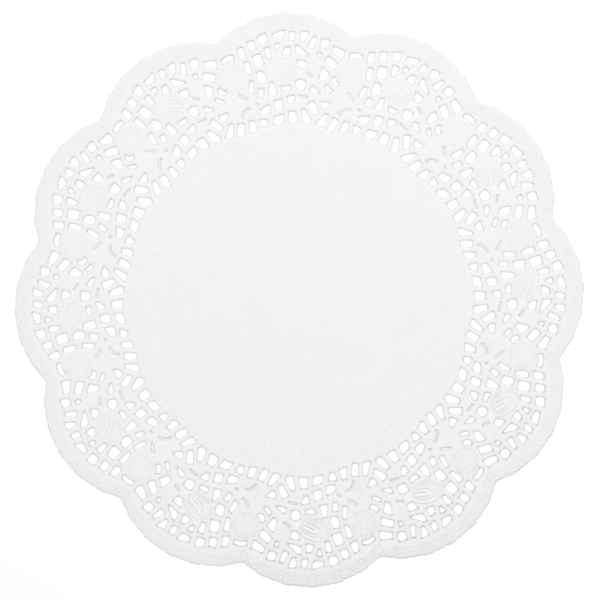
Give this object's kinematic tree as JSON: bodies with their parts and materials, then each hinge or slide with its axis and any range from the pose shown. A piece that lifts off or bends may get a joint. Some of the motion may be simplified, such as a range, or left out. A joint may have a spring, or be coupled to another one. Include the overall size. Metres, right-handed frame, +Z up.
{
  "type": "round paper doily",
  "caption": "Flat round doily of white embossed paper, with a scalloped edge and a band of floral openwork, laid under cakes, plates or cups.",
  "frame": {"origin": "centre of the doily on its underside", "axes": "+Z up, away from what the doily lies on, with a scallop's crest on each of +X, -X, +Y and -Y"},
  "size_m": [0.3, 0.3, 0.001],
  "materials": {
    "paper": "matt white paper, embossed with a fine linen grain in the middle and with flowers and leaves round it"
  },
  "bodies": {
    "root": {"doily": "paper"}
  },
  "joints": []
}
